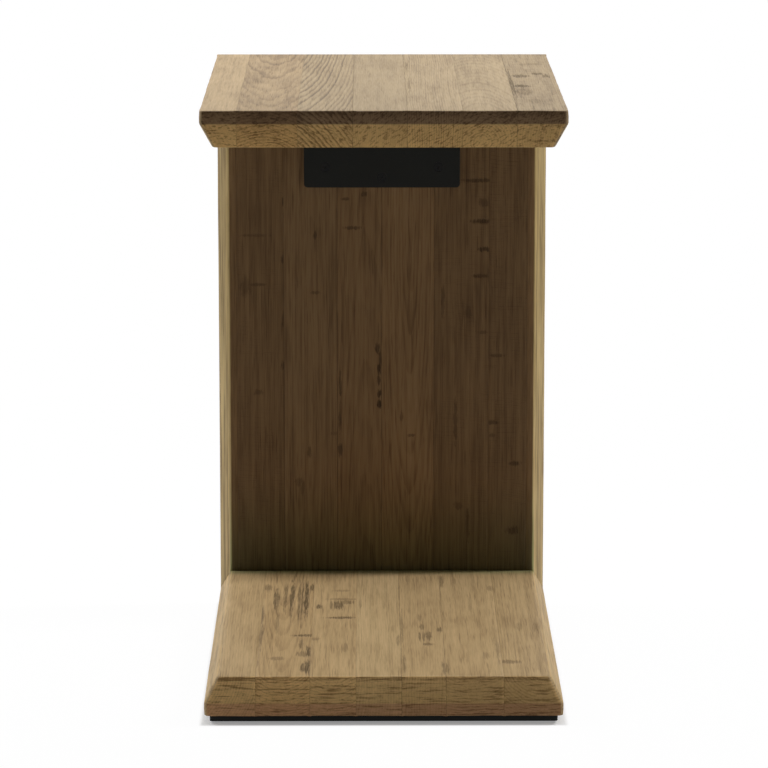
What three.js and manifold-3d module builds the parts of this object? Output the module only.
// A C-shaped laptop table of edge-glued boards. The top, the back and the base meet in
// two dowelled mitres. A bent steel bracket stiffens the upper corner, and a steel plate
// under the base gives it weight. X runs across the table, Y from the open front to the
// back, and Z up. The origin is on the floor under the middle. Sizes are millimetres.

import * as THREE from 'three';
import { mergeVertices } from 'three/addons/utils/BufferGeometryUtils.js';
import Module from 'manifold-3d';

const wasm = await Module();
wasm.setup();

// Overall sizes
const width = 350;
const depth = 490;
const height = 600;

// Top, back and base are planed to one thickness. Each edge starts square at the outer
// face and then slopes in to the inner face.
const boardThickness = 37;
const edgeBand = 13;
const bevelInset = 12;
const cornerRadius = 4.5;
const arris = 1;

// Joints between neighbouring boards, as shares of the width from the left side. The
// back has a narrow strip at each side, which carries the bevel.
const topJointShares = [0.101, 0.266, 0.416, 0.564, 0.713, 0.861];
const backInnerJointShares = [0.201, 0.364, 0.499, 0.659, 0.826];
const baseJointShares = [0.143, 0.294, 0.423, 0.55, 0.673, 0.834];
const backStripWidth = 20;

// Mitres and their dowels
const mitreGap = 0.3;
const dowelDiameter = 8;
const dowelLength = 24;
const dowelChamfer = 1;
const dowelEndDistance = 35;
const dowelCount = 5;

// Bent bracket in the upper inner corner
const bracketWidth = 165;
const bracketLeg = 100;
const bracketThickness = 6;
const bracketInnerBend = 3;
const bracketScrewSideEdge = 22.5;
const bracketScrewEdge = 22;
const bracketMiddleScrewEdge = 11;

// Steel plate and pads under the base
const plateThickness = 6;
const plateInset = 5.6;
const plateCorner = 3;
const plateScrewSideEdge = 24;
const plateScrewEndEdge = 62;
const padDiameter = 30;
const padThickness = 2;
const padEdge = 24;

// Countersunk wood screws, with a six-sided socket in the head
const bracketScrew = { shank: 5, head: 10, rim: 0.5, socket: 4, socketDepth: 2 };
const plateScrew = { shank: 4.5, head: 9, rim: 0.5, socket: 3.6, socketDepth: 1.8 };
const cornerScrew = { shank: 6, head: 12, rim: 0.8, socket: 5, socketDepth: 2.5 };
const cornerScrewLength = 95;
const cornerScrewSink = 1;
const coverOverTip = 9;

// Clearance round each fixing, and the length by which a cut runs past what it cuts
const fit = 0.25;
const overrun = 2;

// Fineness of round shapes
const fixingSides = 16;
const padSides = 32;
const cornerSteps = 5;

// Places that follow from the sizes
const baseOuter = padThickness + plateThickness;
const baseInner = baseOuter + boardThickness;
const topInner = height - boardThickness;
const backOuter = depth / 2;
const backInner = backOuter - boardThickness;
const mitreMiddle = backOuter - boardThickness / 2;
const bracketFace = backInner - bracketThickness;
const bracketTopFace = topInner - bracketThickness;
const bracketScrewSpread = bracketWidth / 2 - bracketScrewSideEdge;
const plateHalfWidth = width / 2 - plateInset;
const plateHalfDepth = depth / 2 - plateInset;
const reach = 2 * (width + depth + height);

// Which way a fixing points, from its head to its tip
const pointingUp = new THREE.Euler(Math.PI / 2, 0, 0);
const pointingBack = new THREE.Euler(0, 0, 0);

// Colours of the single boards, left to right
const topColours = ['#c7b190', '#b7a082', '#b09c7c', '#bba98e', '#baa88e', '#bba890', '#b1a086'];
const backColours = ['#b09a76', '#a58c68', '#a88f6c', '#a18864', '#a68d69', '#a38a66', '#a58c69',
  '#b09a76'];
const baseColours = ['#b69f7b', '#a88d66', '#ad946e', '#b29a75', '#ab9069', '#af9670', '#b39b76'];
const dowelColour = '#c9a877';
const steelColour = '#1b1b1a';
const screwColour = '#232322';
const padColour = '#161616';

function woodMaterial(color) {
  return new THREE.MeshStandardMaterial({ color, roughness: 0.72, metalness: 0 });
}

function steelMaterial(color) {
  return new THREE.MeshStandardMaterial({ color, roughness: 0.55, metalness: 0.6 });
}

function padMaterial() {
  return new THREE.MeshStandardMaterial({ color: padColour, roughness: 0.95, metalness: 0 });
}

// A solid for joining and cutting, from a closed geometry. Triangles that shrink to a
// line where points are merged, as at the pole of a turned shape, are left out.
function toSolid(geometry) {
  const bare = geometry.clone();
  bare.deleteAttribute('normal');
  bare.deleteAttribute('uv');
  const merged = mergeVertices(bare);
  const corners = merged.index.array;
  const triVerts = [];
  for (let i = 0; i < corners.length; i += 3) {
    const [a, b, c] = corners.slice(i, i + 3);
    if (a !== b && b !== c && c !== a) triVerts.push(a, b, c);
  }
  return new wasm.Manifold(new wasm.Mesh({
    numProp: 3,
    vertProperties: merged.attributes.position.array,
    triVerts: Uint32Array.from(triVerts),
  }));
}

function toGeometry(solid) {
  const { vertProperties, triVerts } = solid.getMesh();
  const geometry = new THREE.BufferGeometry();
  geometry.setAttribute('position', new THREE.BufferAttribute(vertProperties, 3));
  geometry.setIndex(Array.from(triVerts));
  geometry.computeVertexNormals();
  return geometry;
}

function cut(solid, cutters) {
  return cutters.reduce((rest, cutter) => rest.subtract(cutter), solid);
}

function part(name, geometry, material) {
  const mesh = new THREE.Mesh(geometry, material);
  mesh.name = name;
  return mesh;
}

// The outline is drawn in Y and Z and runs across the table, centred.
function acrossTable(outline, length) {
  const geometry = new THREE.ExtrudeGeometry(outline, {
    depth: length,
    bevelEnabled: false,
    curveSegments: cornerSteps,
  });
  geometry.translate(0, 0, -length / 2);
  const alongX = new THREE.Matrix4().makeBasis(
    new THREE.Vector3(0, 1, 0),
    new THREE.Vector3(0, 0, 1),
    new THREE.Vector3(1, 0, 0),
  );
  return geometry.applyMatrix4(alongX);
}

function outlineThrough(points) {
  return new THREE.Shape(points.map(([x, y]) => new THREE.Vector2(x, y)));
}

// One level line of a slab, drawn in by an inset, with both front corners rounded.
function slabRing(inset, level) {
  const side = width / 2 - inset;
  const front = -depth / 2 + inset;
  const ring = [new THREE.Vector3(-side, backOuter, level)];
  for (const [sign, start] of [[-1, Math.PI], [1, 1.5 * Math.PI]]) {
    for (let step = 0; step <= cornerSteps; step += 1) {
      const angle = start + (step / cornerSteps) * (Math.PI / 2);
      const x = sign * (side - cornerRadius) + cornerRadius * Math.cos(angle);
      const y = front + cornerRadius + cornerRadius * Math.sin(angle);
      ring.push(new THREE.Vector3(x, y, level));
    }
  }
  ring.push(new THREE.Vector3(side, backOuter, level));
  return ring;
}

// A closed body through level rings, lowest first, each counter-clockwise from above.
function loft(rings) {
  const count = rings[0].length;
  const last = (rings.length - 1) * count;
  const index = [];
  for (let level = 0; level < rings.length - 1; level += 1) {
    for (let i = 0; i < count; i += 1) {
      const here = level * count + i;
      const next = level * count + ((i + 1) % count);
      index.push(here, next, next + count, here, next + count, here + count);
    }
  }
  for (let i = 1; i < count - 1; i += 1) {
    index.push(0, i + 1, i, last, last + i, last + i + 1);
  }
  const geometry = new THREE.BufferGeometry().setFromPoints(rings.flat());
  geometry.setIndex(index);
  return geometry;
}

// The top or the base before its mitre is cut. It grows from its outer face towards the
// inner one, which lies below the outer face of the top and above that of the base.
function slab(outerLevel, growth) {
  const steps = [[arris, 0], [0, arris], [0, edgeBand], [bevelInset, boardThickness]];
  const rings = steps.map(([inset, level]) => slabRing(inset, outerLevel + growth * level));
  return toSolid(loft(growth > 0 ? rings : rings.reverse()));
}

// The back before its mitres are cut, with a bevel on both sides of its inner face.
function backSlab() {
  const side = width / 2;
  const outline = outlineThrough([
    [bevelInset - side, backInner],
    [side - bevelInset, backInner],
    [side, backOuter - edgeBand],
    [side, backOuter - arris],
    [side - arris, backOuter],
    [arris - side, backOuter],
    [-side, backOuter - arris],
    [-side, backOuter - edgeBand],
  ]);
  const geometry = new THREE.ExtrudeGeometry(outline, {
    depth: height - baseOuter,
    bevelEnabled: false,
  });
  geometry.translate(0, 0, baseOuter);
  return toSolid(geometry);
}

// The side view of the whole table, with its rear corners eased like the other edges.
function easedSideView() {
  const front = -depth / 2 - overrun;
  return toSolid(acrossTable(outlineThrough([
    [front, baseOuter],
    [backOuter - arris, baseOuter],
    [backOuter, baseOuter + arris],
    [backOuter, height - arris],
    [backOuter - arris, height],
    [front, height],
  ]), width + overrun));
}

// A block on one side of the mitre plane through the inner corner at the given level.
function blockPastMitre(level, tilt) {
  const block = new THREE.BoxGeometry(reach, reach, reach);
  block.translate(0, 0, (reach + mitreGap) / 2);
  block.rotateX(tilt);
  block.translate(0, backInner, level);
  return toSolid(block);
}

// A slice of the whole table between two planes across its width. Both neighbours of a
// joint take its place from the same value, so their faces meet exactly.
function slice(left, right) {
  const geometry = new THREE.ExtrudeGeometry(outlineThrough([
    [left, -reach],
    [right, -reach],
    [right, reach],
    [left, reach],
  ]), { depth: reach, bevelEnabled: false });
  geometry.translate(0, 0, -reach / 2);
  return toSolid(geometry);
}

// Splits a finished panel into its boards, left to right.
function boardsOf(panel, name, joints, colours) {
  const sides = [-width, ...joints, width];
  return colours.map((colour, index) => {
    const board = panel.intersect(slice(sides[index], sides[index + 1]));
    return part(`${name}_${index + 1}`, toGeometry(board), woodMaterial(colour));
  });
}

function fromLeft(shares) {
  return shares.map((share) => share * width - width / 2);
}

// A screw turned about its axis, from the flat of its head to its tip. For its hole it
// is wider all round by the given margin, and open above the head.
function screwBody(screw, length, margin) {
  const shank = screw.shank / 2 + margin;
  const head = screw.head / 2 + margin;
  const headTop = margin > 0 ? -overrun : 0;
  const headDepth = screw.rim + (screw.head - screw.shank) / 2;
  return new THREE.LatheGeometry([
    new THREE.Vector2(0, headTop),
    new THREE.Vector2(head, headTop),
    new THREE.Vector2(head, screw.rim),
    new THREE.Vector2(shank, headDepth),
    new THREE.Vector2(shank, length - screw.shank + margin),
    new THREE.Vector2(0, length + margin),
  ], fixingSides);
}

function socketCutter(screw) {
  const half = screw.socket / 2;
  const socket = new THREE.CylinderGeometry(half, half, screw.socketDepth + overrun, 6);
  socket.translate(0, (screw.socketDepth - overrun) / 2, 0);
  return toSolid(socket);
}

// The pieces of one set of fixings, each at its place, and the holes that they need.
function fixingSet(name, geometry, hole, places, rotation, makeMaterial) {
  const pieces = places.map((place, index) => {
    const piece = part(`${name}_${index + 1}`, geometry.clone(), makeMaterial());
    piece.position.copy(place);
    piece.rotation.copy(rotation);
    return piece;
  });
  const turn = new THREE.Quaternion().setFromEuler(rotation);
  const holes = places.map((place) => toSolid(
    hole.clone().applyQuaternion(turn).translate(place.x, place.y, place.z),
  ));
  return { pieces, holes };
}

function screwSet(name, screw, length, places, rotation) {
  const body = toSolid(screwBody(screw, length, 0)).subtract(socketCutter(screw));
  const hole = screwBody(screw, length, fit);
  const geometry = toGeometry(body);
  return fixingSet(name, geometry, hole, places, rotation, () => steelMaterial(screwColour));
}

function dowelBody(margin) {
  const radius = dowelDiameter / 2 + margin;
  const half = dowelLength / 2 + margin;
  return new THREE.LatheGeometry([
    new THREE.Vector2(0, -half),
    new THREE.Vector2(radius - dowelChamfer, -half),
    new THREE.Vector2(radius, dowelChamfer - half),
    new THREE.Vector2(radius, half - dowelChamfer),
    new THREE.Vector2(radius - dowelChamfer, half),
    new THREE.Vector2(0, half),
  ], fixingSides);
}

// Even places across the table, the outer ones a set distance from its sides.
function evenPlaces(count) {
  const span = width - 2 * dowelEndDistance;
  return Array.from({ length: count }, (_, index) => (index / (count - 1) - 0.5) * span);
}

// A row of dowels square to one mitre, half in each panel.
function dowelRow(name, level, tilt) {
  const places = evenPlaces(dowelCount).map((x) => new THREE.Vector3(x, mitreMiddle, level));
  const rotation = new THREE.Euler(tilt, 0, 0);
  const geometry = toGeometry(toSolid(dowelBody(0)));
  return fixingSet(name, geometry, dowelBody(fit), places, rotation, () => woodMaterial(dowelColour));
}

// Two screws beside each other and one in the middle, nearer the free edge of a leg. Each
// x comes with its distance from that edge.
const bracketScrewPattern = [
  [-bracketScrewSpread, bracketScrewEdge],
  [0, bracketMiddleScrewEdge],
  [bracketScrewSpread, bracketScrewEdge],
];

function wallScrewPlaces() {
  const freeEdge = topInner - bracketLeg;
  return bracketScrewPattern.map(([x, edge]) => new THREE.Vector3(x, bracketFace, freeEdge + edge));
}

function topScrewPlaces() {
  const freeEdge = backInner - bracketLeg;
  return bracketScrewPattern.map(([x, edge]) => (
    new THREE.Vector3(x, freeEdge + edge, bracketTopFace)
  ));
}

function plateScrewPlaces() {
  const side = plateHalfWidth - plateScrewSideEdge;
  const end = plateHalfDepth - plateScrewEndEdge;
  return [-end, 0, end].flatMap((y) => (
    [-side, 0, side].map((x) => new THREE.Vector3(x, y, padThickness))
  ));
}

// Long screws from below, one between each two dowels of the lower mitre.
function cornerScrewPlaces() {
  const dowels = evenPlaces(dowelCount);
  return dowels.slice(1).map((x, index) => (
    new THREE.Vector3((x + dowels[index]) / 2, mitreMiddle, baseOuter + cornerScrewSink)
  ));
}

function bracketBody() {
  const bendRadius = bracketInnerBend + bracketThickness;
  const bendY = backInner - bendRadius;
  const bendZ = topInner - bendRadius;
  const outline = new THREE.Shape();
  outline.moveTo(backInner - bracketLeg, topInner);
  outline.lineTo(backInner - bracketLeg, bracketTopFace);
  outline.lineTo(bendY, bracketTopFace);
  outline.absarc(bendY, bendZ, bracketInnerBend, Math.PI / 2, 0, true);
  outline.lineTo(bracketFace, topInner - bracketLeg);
  outline.lineTo(backInner, topInner - bracketLeg);
  outline.lineTo(backInner, bendZ);
  outline.absarc(bendY, bendZ, bendRadius, 0, Math.PI / 2, false);
  return toSolid(acrossTable(outline, bracketWidth));
}

function plateBody() {
  const outline = new THREE.Shape();
  const corners = [[1, 1, 0], [-1, 1, 1], [-1, -1, 2], [1, -1, 3]];
  for (const [signX, signY, quarter] of corners) {
    const x = signX * (plateHalfWidth - plateCorner);
    const y = signY * (plateHalfDepth - plateCorner);
    const start = quarter * (Math.PI / 2);
    outline.absarc(x, y, plateCorner, start, start + Math.PI / 2, false);
  }
  const geometry = new THREE.ExtrudeGeometry(outline, {
    depth: plateThickness,
    bevelEnabled: false,
    curveSegments: cornerSteps,
  });
  geometry.translate(0, 0, padThickness);
  return toSolid(geometry);
}

function footPads() {
  const side = plateHalfWidth - padEdge;
  const end = plateHalfDepth - padEdge;
  const places = [[-side, -end], [side, -end], [side, end], [-side, end]];
  return places.map(([x, y], index) => {
    const disc = new THREE.CylinderGeometry(padDiameter / 2, padDiameter / 2, padThickness, padSides);
    const pad = part(`foot_pad_${index + 1}`, disc, padMaterial());
    pad.rotation.copy(pointingUp);
    pad.position.set(x, y, padThickness / 2);
    return pad;
  });
}

// Fixings
const bracketScrewLength = bracketThickness + boardThickness - coverOverTip;
const plateScrewLength = plateThickness + boardThickness - coverOverTip;
const wallScrews = screwSet(
  'bracket_wall_screw', bracketScrew, bracketScrewLength, wallScrewPlaces(), pointingBack,
);
const topScrews = screwSet(
  'bracket_top_screw', bracketScrew, bracketScrewLength, topScrewPlaces(), pointingUp,
);
const plateScrews = screwSet(
  'plate_screw', plateScrew, plateScrewLength, plateScrewPlaces(), pointingUp,
);
const cornerScrews = screwSet(
  'corner_screw', cornerScrew, cornerScrewLength, cornerScrewPlaces(), pointingUp,
);
const topDowels = dowelRow('top_dowel', height - boardThickness / 2, -Math.PI / 4);
const baseDowels = dowelRow('base_dowel', baseOuter + boardThickness / 2, Math.PI / 4);

// Panels, mitred and drilled
const sideView = easedSideView();
const topPanel = cut(
  slab(height, -1).intersect(sideView).intersect(blockPastMitre(topInner, Math.PI / 4)),
  [...topDowels.holes, ...topScrews.holes],
);
const basePanel = cut(
  slab(baseOuter, 1).intersect(sideView).intersect(blockPastMitre(baseInner, 0.75 * Math.PI)),
  [...baseDowels.holes, ...plateScrews.holes, ...cornerScrews.holes],
);
const backPanel = cut(
  backSlab()
    .intersect(sideView)
    .intersect(blockPastMitre(topInner, -0.75 * Math.PI))
    .intersect(blockPastMitre(baseInner, -Math.PI / 4)),
  [...topDowels.holes, ...baseDowels.holes, ...wallScrews.holes, ...cornerScrews.holes],
);
const backJoints = [
  backStripWidth - width / 2,
  ...fromLeft(backInnerJointShares),
  width / 2 - backStripWidth,
];

const bracket = cut(bracketBody(), [...wallScrews.holes, ...topScrews.holes]);
const plate = cut(plateBody(), plateScrews.holes);

const table = new THREE.Group();
table.add(
  ...boardsOf(topPanel, 'top_board', fromLeft(topJointShares), topColours),
  ...boardsOf(backPanel, 'back_board', backJoints, backColours),
  ...boardsOf(basePanel, 'base_board', fromLeft(baseJointShares), baseColours),
  ...topDowels.pieces,
  ...baseDowels.pieces,
  part('corner_bracket', toGeometry(bracket), steelMaterial(steelColour)),
  ...wallScrews.pieces,
  ...topScrews.pieces,
  part('base_plate', toGeometry(plate), steelMaterial(steelColour)),
  ...plateScrews.pieces,
  ...cornerScrews.pieces,
  ...footPads(),
);

export default table;
